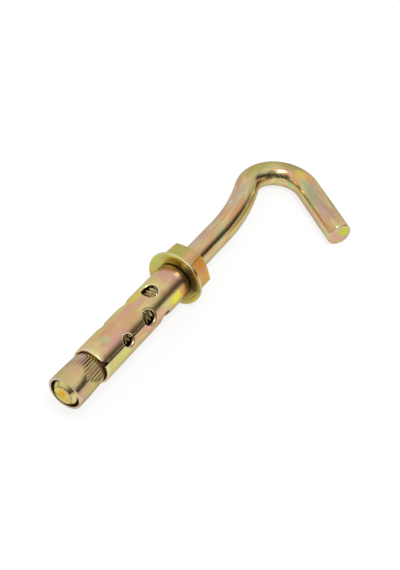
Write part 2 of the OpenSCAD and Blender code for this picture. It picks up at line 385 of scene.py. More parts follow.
def chromate(name, stops, patch, tints, roughness=0.25, scratch=0.4, pits=None):
    """Yellow passivated zinc plating on steel: a bright metal under a chromate film a few
    hundred nanometres thick, with painted highlight in pale on its edges. The film's thickness drifts, so its colour
    goes softly through straw, rose, green and orange over some millimetres, and the drawing or rolling marks of
    the steel run through it. Painted shade in brown darkens grooves, holes and joints, where the film is also rougher.

    tints holds (centre, reach, colour, amount), mostly where the film has its own tint, and in a few
    places painted highlights and painted shade; pits holds (centre, reach) where the bending tool bit through it."""
    material, tree = new_material(name)
    place = add(tree, "ShaderNodeAttribute", attribute_name="own_place")
    film_shade_and_sheen = add(tree, "ShaderNodeAttribute", attribute_name="film_shade_and_sheen")
    # The film's drift: soft patches, each as long and wide as patch says
    patches = add(tree, "ShaderNodeMapping", [("Vector", place, "Vector")], Scale=[1 / mm for mm in patch])
    film = add(tree, "ShaderNodeTexNoise", [("Vector", patches, "Vector")],
               Scale=1.0, Detail=1.6, Roughness=0.5, Distortion=0.4)
    body = add(tree, "ShaderNodeValToRGB",
               [("Fac", add(tree, "ShaderNodeMapRange", [("Value", film, "Fac")],
                            From_Min=0.28, From_Max=0.72), "Result")], stops)
    shade_out = "Color"
    # The tints' edges wander by about a millimetre
    wander = add(tree, "ShaderNodeTexNoise", [("Vector", place, "Vector")], Scale=0.35, Detail=2.5)
    moved = add(tree, "ShaderNodeVectorMath", [(0, wander, "Color"), (2, place, "Vector")],
                operation="MULTIPLY_ADD", values={1: (3.0, 3.0, 3.0)})
    moved = add(tree, "ShaderNodeVectorMath", [(0, moved, "Vector")], operation="SUBTRACT",
                values={1: (1.5, 1.5, 1.5)})
    for centre, reach, shade, amount in tints:
        off = add(tree, "ShaderNodeVectorMath", [(0, moved, "Vector")], operation="SUBTRACT", values={1: centre})
        near = add(tree, "ShaderNodeVectorMath", [(0, off, "Vector")], operation="DIVIDE", values={1: reach})
        far = add(tree, "ShaderNodeVectorMath", [(0, near, "Vector")], operation="LENGTH")
        mask = add(tree, "ShaderNodeMapRange", [("Value", far, "Value")], interpolation_type="SMOOTHSTEP",
                   From_Min=0.3, From_Max=1.1, To_Min=amount, To_Max=0.0)
        body = add(tree, "ShaderNodeMix", [(0, mask, "Result"), (6, body, shade_out)],
                   data_type="RGBA", values={7: (*shade, 1)})
        shade_out = 2
    # Drawing or rolling marks, about 0.3 mm apart and some millimetres long
    lines = add(tree, "ShaderNodeMapping", [("Vector", place, "Vector")], Scale=(0.15, 3.0, 3.0))
    streak = add(tree, "ShaderNodeTexNoise", [("Vector", lines, "Vector")], Scale=1.0, Detail=4.0, Roughness=0.6)
    tone = add(tree, "ShaderNodeMapRange", [("Value", streak, "Fac")],
               From_Min=0.3, From_Max=0.7, To_Min=1 - 0.45 * scratch, To_Max=1 + 0.3 * scratch)
    body = add(tree, "ShaderNodeMix", [(6, body, shade_out), (7, tone, "Result")], data_type="RGBA",
               blend_type="MULTIPLY", values={0: 1.0})
    # Painted highlight: pale laid over edges and rims where the attribute is below zero
    painted_sheen = add(tree, "ShaderNodeMapRange", [("Value", film_shade_and_sheen, "Fac")], From_Min=-1.0, From_Max=0.0,
               To_Min=0.85, To_Max=0.0)
    body = add(tree, "ShaderNodeMix", [(0, painted_sheen, "Result"), (6, body, 2)], data_type="RGBA",
               values={7: (*colours().pale, 1)})
    # Plating grain of about 0.4 mm
    grain = add(tree, "ShaderNodeTexNoise", [("Vector", place, "Vector")], Scale=2.5, Detail=5.0)
    # Share of painted shade from the attribute, which also makes the film rougher there
    matt_and_shade = add(tree, "ShaderNodeMapRange", [("Value", film_shade_and_sheen, "Fac")], To_Min=0.0, To_Max=0.92)
    if pits:
        body, matt_and_shade = pitted(tree, place, body, matt_and_shade, *pits)
    # Brown over the pits, and as painted shade in grooves, holes and joints
    body = add(tree, "ShaderNodeMix", [(0, matt_and_shade, "Result"), (6, body, 2)], data_type="RGBA",
               values={7: (*colours().brown, 1)})
    rough = add(tree, "ShaderNodeMapRange", [("Value", grain, "Fac")],
                To_Min=roughness - 0.08, To_Max=roughness + 0.08)
    rough = add(tree, "ShaderNodeMath", [(0, matt_and_shade, "Result"), (2, rough, "Result")], operation="MULTIPLY_ADD",
                values={1: 0.25})
    height = add(tree, "ShaderNodeMath", [(0, grain, "Fac"), (2, streak, "Fac")], operation="MULTIPLY_ADD",
                 values={1: 0.2})
    bump = add(tree, "ShaderNodeBump", [("Height", height, "Value")], Strength=scratch, Distance=0.06 * MM)
    metal = add(tree, "ShaderNodeBsdfPrincipled",
                [("Base Color", body, 2), ("Roughness", rough, "Value"), ("Normal", bump, "Normal")],
                Metallic=1.0, Specular_Tint=(*linear("#cccbc2"), 1))
    add(tree, "ShaderNodeOutputMaterial", [("Surface", metal, "BSDF")])
    return material


def pitted(tree, place, body, matt_and_shade, centre, reach):
    """Small dark pits, 0.2 to 0.5 mm wide, where the bending tool bit through the plating."""
    off = add(tree, "ShaderNodeVectorMath", [(0, place, "Vector")], operation="SUBTRACT", values={1: centre})
    near = add(tree, "ShaderNodeVectorMath", [(0, off, "Vector")], operation="DIVIDE", values={1: reach})
    far = add(tree, "ShaderNodeVectorMath", [(0, near, "Vector")], operation="LENGTH")
    where = add(tree, "ShaderNodeMapRange", [("Value", far, "Value")], interpolation_type="SMOOTHSTEP",
                From_Min=0.6, From_Max=1.1, To_Min=0.17, To_Max=-0.2)
    specks = add(tree, "ShaderNodeTexNoise", [("Vector", place, "Vector")], Scale=2.6, Detail=3.0, Roughness=0.7)
    sum_up = add(tree, "ShaderNodeMath", [(0, specks, "Fac"), (1, where, "Result")], operation="ADD")
    pit = add(tree, "ShaderNodeMapRange", [("Value", sum_up, "Value")], From_Min=0.62, From_Max=0.68,
              To_Min=0.0, To_Max=0.95)
    either = add(tree, "ShaderNodeMath", [(0, matt_and_shade, "Result"), (1, pit, "Result")], operation="MAXIMUM")
    return body, add(tree, "ShaderNodeMapRange", [("Value", either, "Value")])


def bolt_finish():
    c = colours()
    end = -sizes().bolt_end / MM
    tints = [
        ((11, 1.4, 3.2), (15, 1.6, 1.6), c.mauve, 0.6), ((14, -1.0, 3.3), (11, 1.5, 1.5), c.tan, 0.5),
        ((30, -1.4, 3.2), (6, 1.9, 1.9), c.orange, 0.55), ((36, 1.2, 3.2), (8, 2.6, 2.6), c.mauve, 0.6),
        ((29, -2.9, 0.9), (10, 1.2, 1.3), c.gold, 0.45), ((40, -2.9, 1.6), (4, 1.4, 1.4), c.lime, 0.6),
        ((49, 0.6, 3.4), (7, 2.8, 2.6), c.olive, 0.85), ((56, 1.2, 3.3), (6, 2.6, 2.2), c.olive, 0.7),
        ((60, 1.7, 3.0), (4, 1.5, 1.5), linear("#a08f78"), 0.7), ((61, 0.4, 3.4), (4.5, 2.2, 2.0), linear("#a59c66"), 0.85), ((54.4, -3.4, 0.5), (1.5, 1.5, 1.1), c.lime, 0.9),
        ((62.4, -3.4, 0.4), (1.7, 1.3, 1.3), linear("#8fc98a"), 0.8), ((63.8, -0.9, 3.3), (3, 1.6, 1.4), c.gold, 0.6),
        ((67, 0.5, 3.4), (3, 2.5, 2.0), c.orange, 0.35), ((72, -1.8, 2.9), (7, 1.9, 1.9), linear("#a9ac86"), 0.9),
        ((80, -0.8, 3.3), (6, 1.8, 1.8), linear("#bb9688"), 0.75), ((79, 2.2, 2.8), (9, 1.3, 1.4), linear("#b98a55"), 0.8),
        ((78, -3.3, 0.3), (9, 1.2, 1.2), c.mauve, 0.5), ((87.4, 0, 0), (0.5, 6, 6), c.rose, 0.7),
        ((87.4, 1.2, 0.9), (1.2, 1.9, 1.9), linear("#c2d433"), 0.95),
        ((-20, 0, 0), (26, 7, 7), linear("#bba56c"), 0.8), ((32.6, 1.7, 2.9), (0.9, 1.3, 0.9), linear("#dedad2"), 0.75),
        ((end + 0.7, 0, 0), (1.2, 6, 6), c.lime, 0.7), ((end, 0, 0), (0.9, 3.0, 3.0), c.gold, 0.95),
        ((end, 0.2, 0.4), (1.5, 1.4, 1.4), linear("#e0a02c"), 0.8)]
    return chromate("yellow passivated drawn rod",
                    [(0.0, c.mauve), (0.3, c.tan), (0.55, c.straw), (0.8, c.green), (1.0, c.tan)],
                    (11, 1.7, 1.7), tints, roughness=0.2, scratch=0.35, pits=((55.5, -2.7, 1.9), (7.5, 1.6, 1.6)))


def nut_finish():
    c = colours()
    tints = [
        (around(0, 25, 7.2), (1.5, 4.5, 4.5), linear("#b9c070"), 0.8), (around(0, 85, 7), (1.5, 3.4, 3.4), linear("#cdbb3c"), 0.85),
        # The dark olive at 160 degrees on the bearing face is painted shade from the sleeve
        (around(0, 160, 6.6), (1.2, 4.5, 4.5), linear("#8e7a38"), 0.85), (around(0.5, 200, 7.6), (1.5, 3, 3), c.gold, 0.5), (around(3.6, 72, 6.8), (4, 3, 3), linear("#aeb061"), 0.6),
        (around(3.8, 106, 6.9), (3, 1.8, 1.8), c.rose, 0.5), (around(4.0, 132, 7), (4.2, 3.2, 3.2), linear("#c5843c"), 0.95),
        (around(4.6, 154, 6.7), (3.0, 1.9, 1.9), linear("#c08a78"), 0.75), (around(4.4, 164, 7), (3, 1.8, 1.8), c.orange, 0.5),
        # The pale spot where the front corner meets the flange is a painted highlight
        (around(1.6, 117, 6.9), (0.7, 0.6, 0.6), c.pale, 0.9)]
    return chromate("yellow passivated pressed nut",
                    [(0.0, linear("#b0ac5c")), (0.35, c.olive), (0.6, linear("#c9a95c")), (1.0, c.gold)],
                    (5, 5, 5), tints, roughness=0.24, scratch=0.12)


def sleeve_finish():
    c = colours()
    tints = [
        (around(-18, 42, 5), (22, 2.2, 2.2), c.lime, 0.5), (around(-4.5, 84, 5), (4.5, 3.0, 3.0), linear("#d3a08f"), 0.85),
        # The pinkish white near the flange end at 112 degrees is a painted highlight
        (around(-1.6, 112, 5), (2, 2.2, 2.2), linear("#e6cdc6"), 0.8), (around(-14, 56, 5), (5, 2.4, 2.4), c.gold, 0.5),
        (around(-14, 88, 5), (5, 1.8, 1.8), c.rose, 0.4), (around(-7, 166, 5), (3.2, 2.2, 2.2), c.gold, 0.6),
        (around(-6.4, 160, 5), (3.6, 2.0, 2.0), linear("#ebe94e"), 0.95),
        (around(-3, 168, 5), (1.6, 2.2, 2.2), c.orange, 0.6), (around(-13, 160, 5), (3.4, 1.6, 1.8), c.rose, 0.6),
        (around(-22, 100, 5), (5, 2.6, 2.6), c.tan, 0.7), (around(-10, 70, 5), (6, 2.0, 2.0), c.lime, 0.55), (around(-20.5, 72, 5), (4, 2, 2), c.rose, 0.4),
        (around(-30.5, 92, 5), (2, 1.4, 1.4), c.green, 0.75), (around(-33, 112, 5), (2.5, 1.8, 1.8), c.rose, 0.5),
        (around(-28, 172, 5), (9, 2, 2.4), c.lime, 0.45), (around(-24, 160, 5), (3, 1.3, 1.3), c.rose, 0.45),
        # The pale band at the flange end is a painted highlight
        ((0.25, 0, 0), (1.2, 9, 9), c.pale, 0.75)]
    return chromate("yellow passivated rolled sheet",
                    [(0.0, c.rose), (0.35, c.tan), (0.6, c.straw), (1.0, c.lime)],
                    (7, 3.4, 3.4), tints, roughness=0.25, scratch=0.22)


def cone_finish():
    c = colours()
    end = -(sizes().sleeve_play + sizes().sleeve_l + sizes().cone_l - sizes().cone_in) / MM
    tints = [
        (around(-41, 70, 4.6), (3, 2, 2), c.mauve, 0.45), (around(-40, 170, 4.6), (6, 2, 2), c.lime, 0.4),
        (around(-43, 110, 4.6), (4, 4, 4), c.straw, 0.7), ((end - 0.3, 0, 0), (1.0, 9, 9), linear("#dcc3b8"), 0.85), (around(-42.5, 88, 4.6), (5, 2.2, 2.2), c.tan, 0.55)]
    return chromate("yellow passivated turned cone",
                    [(0.0, c.mauve), (0.35, linear("#c09d74")), (0.65, linear("#c4ae7b")), (1.0, linear("#c3b77c"))],
                    (6, 4, 4), tints, roughness=0.22, scratch=0.25)


# Threads ------------------------------------------------------------

def thread_height(s):
    return (s.thread_d - s.root_d) / 2


def thread_surface(name, start_x, turns, steps=48):
    """A rolled thread: one pitch of its rounded 60 degree outline, swept right-handed."""
    s = sizes()
    root, deep, p = s.root_d / 2, thread_height(s), s.pitch
    outline = [(0, 0), (0.1, 0.03), (0.165, 0.1), (0.425, 0.93), (0.5, 1),
               (0.575, 0.93), (0.835, 0.1), (0.9, 0.03), (1, 0)]
    points = [(start_x + p * x, 0, root + deep * h) for x, h in outline]
    piece = trace(name, points)
    sweep = piece.modifiers.new("Thread", "SCREW")
    sweep.axis, sweep.angle, sweep.screw_offset, sweep.iterations = "X", math.tau, p, turns
    sweep.steps = sweep.render_steps = steps
    sweep.use_normal_calculate = True
    apply_all(piece)
    edit(piece)
    bpy.ops.mesh.remove_doubles(threshold=1e-3 * MM)
    done()
    return piece


def nut_thread(name, start_x, turns, bore_r, steps=48):
    """The ridge of a nut's own thread, which runs in the bolt's grooves."""
    s = sizes()
    p, tip, base = s.pitch, s.root_d / 2 + 0.06 * MM, bore_r + 0.12 * MM
    half_tip, half_base = 0.09 * MM, 0.09 * MM + (base - tip) * math.tan(math.radians(30)) * 0.92
    ridge = [(start_x - half_base, 0, base), (start_x - half_tip, 0, tip),
             (start_x + half_tip, 0, tip), (start_x + half_base, 0, base)]
    piece = trace(name, ridge, closed=True)
    sweep = piece.modifiers.new("Ridge", "SCREW")
    sweep.axis, sweep.angle, sweep.screw_offset, sweep.iterations = "X", math.tau, p, turns
    sweep.steps = sweep.render_steps = steps
    apply_all(piece)
    edit(piece, everything=False)
    bpy.ops.mesh.select_non_manifold(extend=False)
    bpy.ops.mesh.edge_face_add()
    done()
    mend(piece)
    return piece


def join(piece, *others):
    take(piece)
    for other in others:
        other.select_set(True)
    bpy.ops.object.join()


# Hook's own geometry ------------------------------------------------------------

def hook_plan():
    """Centreline of the hook in the bolt's frame: bend ends, centres and directions."""
    s = sizes()
    up = Vector((math.cos(s.bend_a), math.sin(s.bend_a), 0))
    bend_mid = Vector((s.stem_l, s.bend_r, 0))
    bend_end = bend_mid + s.bend_r * Vector((math.sin(s.bend_a), -math.cos(s.bend_a), 0))
    hook_mid = bend_end + s.hook_r * Vector((up.y, -up.x, 0))
    turn_to = s.bend_a - s.hook_a
    leg = Vector((math.cos(turn_to), math.sin(turn_to), 0))
    hook_end = hook_mid + s.hook_r * Vector((-leg.y, leg.x, 0))
    return bend_mid, bend_end, hook_mid, hook_end, leg


def straightened(point):
    """A rod point's place if the rod were straight: length along it, then across it."""
    s = sizes()
    bend_mid, bend_end, hook_mid, hook_end, leg = hook_plan()
    if point.x <= s.stem_l and math.hypot(point.y, point.z) < 5 * MM:
        return point
    off = point - bend_mid
    swept, inward = math.atan2(off.x, -off.y), s.bend_r - math.hypot(off.x, off.y)
    if 0 <= swept <= s.bend_a and abs(inward) < s.rod_d:
        return Vector((s.stem_l + s.bend_r * swept, inward, point.z))
    along = s.stem_l + s.bend_r * s.bend_a
    off = point - hook_mid
    start = bend_end - hook_mid
    swept = (math.atan2(start.y, start.x) - math.atan2(off.y, off.x)) % math.tau
    if swept <= s.hook_a + 1e-4:
        return Vector((along + s.hook_r * swept, math.hypot(off.x, off.y) - s.hook_r, point.z))
    if swept > math.tau - 1e-4:
        return Vector((along, math.hypot(off.x, off.y) - s.hook_r, point.z))
    off = point - hook_end
    across = Vector((-leg.y, leg.x, 0))
    return Vector((along + s.hook_r * s.hook_a + off.dot(leg), off.dot(across), point.z))


class ANCHOR_OT_bolt(bpy.types.Operator):
    """Builds the hook bolt: a rod with a rolled thread, bent into an open hook"""
    bl_idname = "anchor.bolt"
    bl_label = "Hook bolt"

    def execute(self, context):
        s = sizes()
        bolt = self.shank(s)
        rod = self.rod(s)
        join(bolt, rod)
        edit(bolt)
        select_edges(bolt, lambda e: e.is_boundary and all(abs(v.co.x - s.thread_top) < 0.01 * MM for v in e.verts))
        bpy.ops.mesh.bridge_edge_loops()
        done()
        mend(bolt, 1e-4 * MM)
        smooth(bolt, 32)
        remember(bolt, straightened, lambda point: self.depth(s, point))
        lie_down(bolt)
        dress(bolt, bolt_finish(), "hook_bolt")
        return {"FINISHED"}

    def depth(self, s, point):
        """Painted shade in the thread's grooves, a faint painted highlight on its crests, and a dark ring where the
        end's chamfer starts.
        """
        x, r = point.x, math.hypot(point.y, point.z)
        if x > s.thread_top / MM or r > 4.2:
            return 0.0
        # A dark ring where the end's chamfer starts
        if x < (-s.bolt_end + s.bolt_chamfer) / MM:
            edge = (s.thread_d / 2 - s.bolt_chamfer) / MM
            return 0.7 if abs(r - edge) < 0.06 else 0.0
        # Painted shade towards the thread's roots, and a faint painted highlight on its crests
        return 0.8 * (s.thread_d / 2 / MM - r) / (thread_height(s) / MM) - 0.15

    def shank(self, s):
        """The threaded shank: chamfered at its end, run out into the rod at its top."""
        start = -s.bolt_end - 1.6 * s.pitch
        turns = math.ceil((s.thread_top - start) / s.pitch) + 1
        bolt = thread_surface("bolt", start, turns)
        rod_r, end_r = s.rod_d / 2, s.thread_d / 2 - s.bolt_chamfer

        def shaped(x, spin, r):
            fade = min(max((s.thread_top - 0.15 * MM - x) / s.runout_l, 0), 1)
            fade = fade * fade * (3 - 2 * fade)
            return min(rod_r + (r - rod_r) * fade, end_r + max(x + s.bolt_end, 0))

        cut_at(bolt, s.thread_top, keep_above=False, fill=False)
        cut_at(bolt, s.hair - s.bolt_end, keep_above=True)
        reshape(bolt, radial(shaped))
        edit(bolt, everything=False)
        mesh = bmesh.from_edit_mesh(bolt.data)
        for face in mesh.faces:
            if all(v.co.x < 2 * s.hair - s.bolt_end for v in face.verts):
                face.select_set(True)
        bmesh.update_edit_mesh(bolt.data)
        bpy.ops.mesh.inset(thickness=0.14 * MM)
        done()
        return bolt

    def rod(self, s):
        """The smooth rod: drawn out, bent over two centres, then cut off square."""
        bend_mid, bend_end, hook_mid, hook_end, leg = hook_plan()
        deselect()
        bpy.ops.mesh.primitive_circle_add(vertices=64, radius=s.rod_d / 2, location=(s.thread_top, 0, 0),
                                          rotation=(0, math.pi / 2, 0))
        rod = bpy.context.object
        finish_transform(rod)
        edit(rod)
        reach, lengths = s.stem_l - s.thread_top, 12
        for step in range(lengths):
            bpy.ops.mesh.extrude_edges_move(TRANSFORM_OT_translate={"value": (reach / lengths, 0, 0)})
        bpy.ops.mesh.spin(steps=14, angle=-s.bend_a, center=bend_mid, axis=(0, 0, 1))
        bpy.ops.mesh.spin(steps=48, angle=s.hook_a, center=hook_mid, axis=(0, 0, 1))
        reach, lengths = s.leg_l - s.tip_bevel, 14
        for step in range(lengths):
            bpy.ops.mesh.extrude_edges_move(TRANSFORM_OT_translate={"value": leg * reach / lengths})
        middle, r = hook_end + leg * reach, s.rod_d / 2
        for out, shrink in ((0.45, 0.12), (0.35, 0.33), (0.2, 0.55)):
            step = leg * s.tip_bevel * out
            bpy.ops.mesh.extrude_edges_move(TRANSFORM_OT_translate={"value": step})
            middle = middle + step
            size = (r - s.tip_bevel * shrink) / r
            bpy.ops.transform.resize(value=(size, size, size), center_override=middle)
            r = r - s.tip_bevel * shrink
        bpy.ops.mesh.edge_face_add()
        done()
        return rod


class ANCHOR_OT_flange_nut(bpy.types.Operator):
    """Builds the flange nut: a hexagon pressed in one piece with a conical flange"""
    bl_idname = "anchor.flange_nut"
    bl_label = "Flange nut"

    def execute(self, context):
        s = sizes()
        corner_r, bore_r = s.nut_af / 2 / math.cos(math.radians(30)), 3.95
        af, h, cr = s.nut_af / MM, s.nut_h / MM, corner_r / MM
        bevel, rim, fd = s.nut_bevel / MM, s.flange_rim / MM, s.flange_d / MM - 2 * s.hair / MM
        deselect()
        bpy.ops.mesh.primitive_cylinder_add(vertices=6, radius=corner_r, depth=s.nut_h,
                                            location=(s.nut_h / 2, 0, 0), rotation=(0, math.pi / 2, 0))
        nut = bpy.context.object
        nut.name = nut.data.name = "nut"
        finish_transform(nut)
        corner = max((v.co for v in nut.data.vertices), key=lambda co: co.z)
        turn_by = s.nut_turn - math.atan2(corner.z, corner.y)
        reshape(nut, radial_turn(turn_by))
        edge = 0.22
        edit(nut)
        select_edges(nut, lambda e: abs(e.verts[0].co.x - e.verts[1].co.x) > s.nut_h / 2)
        bpy.ops.mesh.bevel(offset=edge * MM, segments=3, affect="EDGES")
        done()
        top = turn("nut_top", [(-0.5, 0), (-0.5, cr + 1), (h - bevel - math.tan(math.radians(30)), cr + 1),
                               (h, cr - bevel / math.tan(math.radians(30))), (h, 0)], closed=False)
        carve(nut, top, "INTERSECT")
        top_r = af / 2 - 0.4
        flange = turn("flange", [(0.0, 0), (0.0, 5.3), (0.0, 5.9), (0.0, 6.5), (0.0, 7.1), (0.0, fd / 2 - 0.2), (0.06, fd / 2 - 0.06), (0.2, fd / 2),
                                 (rim - 0.12, fd / 2), (rim - 0.02, fd / 2 - 0.07),
                                 (rim + (fd / 2 - top_r) * math.tan(s.flange_slope), top_r),
                                 (rim + (fd / 2 - top_r) * math.tan(s.flange_slope), 0)], closed=False)
        carve(nut, flange, "UNION")
        bore = turn("bore", [(-1, 0), (-1, bore_r + 1.15), (0.15, bore_r), (h - 0.3, bore_r),
                             (h + 1, bore_r + 1.3), (h + 1, 0)], closed=False)
        carve(nut, bore)
        soft_edges(nut, 0.12, degrees=24)
        mend(nut, 1e-4 * MM)
        start = -s.bolt_end - 1.6 * s.pitch
        first = math.ceil((0.75 * MM - start) / s.pitch)
        join(nut, nut_thread("nut_ridge", start + first * s.pitch, 3, bore_r * MM))
        smooth(nut, 30)
        remember(nut, film_shade_and_sheen=lambda point: self.depth(s, point))
        lie_down(nut)
        dress(nut, nut_finish(), "flange_nut")
        return {"FINISHED"}


    def depth(self, s, point):
        """Painted shade in the bore and on the bearing face beside the sleeve, heaviest on the side where the sleeve
        shades it, and a painted highlight along the flange's rim.
        """
        r, spin = math.hypot(point.y, point.z), math.degrees(math.atan2(point.z, point.y)) % 360
        # Painted shade in the bore
        if r < 4.3:
            return 0.9
        # Painted highlight along the flange's rim
        if 0.02 < point.x < s.flange_rim / MM and r > s.flange_d / 2 / MM - 0.1:
            return -0.5
        if point.x > 0.15:
            return 0.0
        # Painted shade beside the sleeve, heaviest from 100 to 200 degrees about the axis
        side = min(max((spin - 70) / 30, 0), 1) * min(max((230 - spin) / 30, 0), 1)
        return (0.1 + 0.85 * side) * min(max((7.3 - r) / 0.9, 0), 1)


def radial_turn(by):
    about = Matrix.Rotation(by, 3, "X")
    return lambda point: about @ point


class ANCHOR_OT_sleeve(bpy.types.Operator):
    """Builds the sleeve: a strip of sheet, punched and slit flat, then rolled to a tube"""
    bl_idname = "anchor.sleeve"
    bl_label = "Sleeve"

    def execute(self, context):
        s = sizes()
        mid_r = s.sleeve_d / 2 - s.sleeve_wall / 2
        across = math.tau * mid_r
        centre_x = -s.sleeve_play - s.sleeve_l / 2
        deselect()
        bpy.ops.mesh.primitive_grid_add(x_subdivisions=30, y_subdivisions=144, size=1)
        sleeve = bpy.context.object
        sleeve.name = sleeve.data.name = "split_sleeve"
        sleeve.dimensions = (s.sleeve_l, across, 0)
        sleeve.location = (centre_x, 0, 0)
        finish_transform(sleeve)
        wall = sleeve.modifiers.new("Wall", "SOLIDIFY")
        wall.thickness, wall.offset = s.sleeve_wall, 0
        apply_all(sleeve)
        edit(sleeve)
        select_edges(sleeve, lambda e: len(e.link_faces) == 2 and e.calc_face_angle(0) > 1
                     and abs(e.verts[0].co.x - e.verts[1].co.x) < 1e-3 * MM)
        bpy.ops.mesh.bevel(offset=0.14 * MM, segments=3, affect="EDGES")
        done()
        self.punch(sleeve, s, mid_r)
        self.close_strip(sleeve, across)
        self.roll(sleeve, s, mid_r)
        mend(sleeve, 1e-3 * MM)
        smooth(sleeve, 30)
        out = s.sleeve_d / 2 / MM
        remember(sleeve, film_shade_and_sheen=lambda point: self.depth(s, out, point))
        lie_down(sleeve, s.sleeve_drop)
        dress(sleeve, sleeve_finish(), "sleeve")
        return {"FINISHED"}

    def depth(self, s, out, point):
        """Painted shade on the cut walls, the inner half of both ends and the inside, and painted highlight on the
        rounded rims and the outer half of both ends.
        """
        into = out - math.hypot(point.y, point.z)
        from_end = min(abs(point.x + s.sleeve_play / MM), abs(point.x + (s.sleeve_play + s.sleeve_l) / MM))
        # At both ends: painted highlight on the outer half, painted shade on the inner half
        if from_end < 0.16:
            return -0.8 if into < 0.35 else 0.6
        # Painted highlight on the rounded rims
        if 0.02 < into < 0.2:
            return -0.7
        # Painted shade on the cut walls and the inside
        return max((into - 0.2) / 0.3, 0)

    def punch(self, sleeve, s, mid_r):
        """Punches the holes and slits, each with the rounded rim that a punch draws in."""
        wall = s.sleeve_wall / 2 / MM
        rings = ((s.hole_a_d, s.hole_a_x, s.hole_a_turn), (s.hole_b_d, s.hole_b_x, s.hole_b_turn),
                 (s.hole_c_d, s.hole_c_x, s.hole_c_turn))
        shapes = []
        for wide, far, first in rings:
            r = wide / 2 / MM
            one = turn("punch", [(-wall - 0.5, 0), (-wall - 0.5, r + 0.25), (-wall, r + 0.06), (-wall + 0.1, r),
                                 (wall - 0.45, r), (wall - 0.3, r + 0.05), (wall - 0.16, r + 0.15),
                                 (wall - 0.06, r + 0.3), (wall - 0.01, r + 0.45), (wall + 0.3, r + 0.8),
                                 (wall + 0.5, r + 0.8), (wall + 0.5, 0)],
                       steps=48, closed=False, axis=(0, 0, 1))
            shapes.append((one, -far, first))
        shapes.append((self.slitter(s, wall), 0, s.slit_turn))
        punches = [self.notch(s, mid_r)]
        for one, x, first in shapes:
            for i in range(s.slit_n):
                at = self.flat_y(s, mid_r, first + i * math.tau / s.slit_n)
                copy = one.copy()
                copy.data = one.data.copy()
                bpy.context.scene.collection.objects.link(copy)
                copy.location = (x, at, 0)
                punches.append(copy)
            bpy.data.objects.remove(one)
        for punch in punches:
            finish_transform(punch)
            carve(sleeve, punch)

    def slitter(self, s, wall):
        """The blade that cuts a slit, from past the mouth into the middle ring's hole."""
        half, mouth = s.slit_w / 2 / MM, (-s.sleeve_play - s.sleeve_l) / MM
        end = (-s.hole_b_x - s.hole_b_d / 4) / MM
        section = [(half, -wall - 0.3), (half, wall - 0.08), (half + 0.06, wall - 0.02), (half + 0.3, wall + 0.3)]
        points = section + [(-y, z) for y, z in reversed(section)]
        blade = trace("blade", [((mouth - 1) * MM, y * MM, z * MM) for y, z in points], closed=True)
        self.thicken(blade, ((end - mouth + 1) * MM, 0, 0))
        return blade

    def notch(self, s, mid_r):
        """The notch beside the first slit, at the mouth."""
        mouth, slit = -s.sleeve_play - s.sleeve_l, self.flat_y(s, mid_r, s.slit_turn)
        deep, wide = s.notch_l, s.notch_w
        corners = [(-1 * MM, 0), (deep, 0), (deep * 0.95, 0.2 * MM), (-0.05 * MM, wide - 0.2 * MM), (-1 * MM, wide)]
        notch = trace("notch", [(mouth + x, slit + y, -1 * MM) for x, y in corners], closed=True)
        self.thicken(notch, (0, 0, 2 * MM))
        return notch

    def thicken(self, outline, way):
        edit(outline)
        bpy.ops.mesh.edge_face_add()
        bpy.ops.mesh.extrude_region_move(TRANSFORM_OT_translate={"value": way})
        bpy.ops.mesh.select_all(action="SELECT")
        bpy.ops.mesh.normals_make_consistent(inside=False)
        done()

    def strip_middle(self, s):
        """The angle opposite the strip's two ends, which meet clear of every hole."""
        return s.slit_turn - math.radians(36)

    def flat_y(self, s, mid_r, spin):
        """Where a place around the axis lies on the flat strip."""
        return ((self.strip_middle(s) - spin + math.pi) % math.tau - math.pi) * mid_r

    def close_strip(self, sleeve, across):
        """Opens the strip's two end faces, so that they close on each other when rolled."""
        edit(sleeve, everything=False)
        mesh = bmesh.from_edit_mesh(sleeve.data)
        for face in mesh.faces:
            if all(abs(abs(v.co.y) - across / 2) < 1e-3 * MM for v in face.verts):
                face.select_set(True)
        bmesh.update_edit_mesh(sleeve.data)
        bpy.ops.mesh.delete(type="FACE")
        done()

    def roll(self, sleeve, s, mid_r):
        middle = self.strip_middle(s)

        def rolled(point):
            spin, r = middle - point.y / mid_r, mid_r + point.z
            return Vector((point.x, r * math.cos(spin), r * math.sin(spin)))

        reshape(sleeve, rolled)


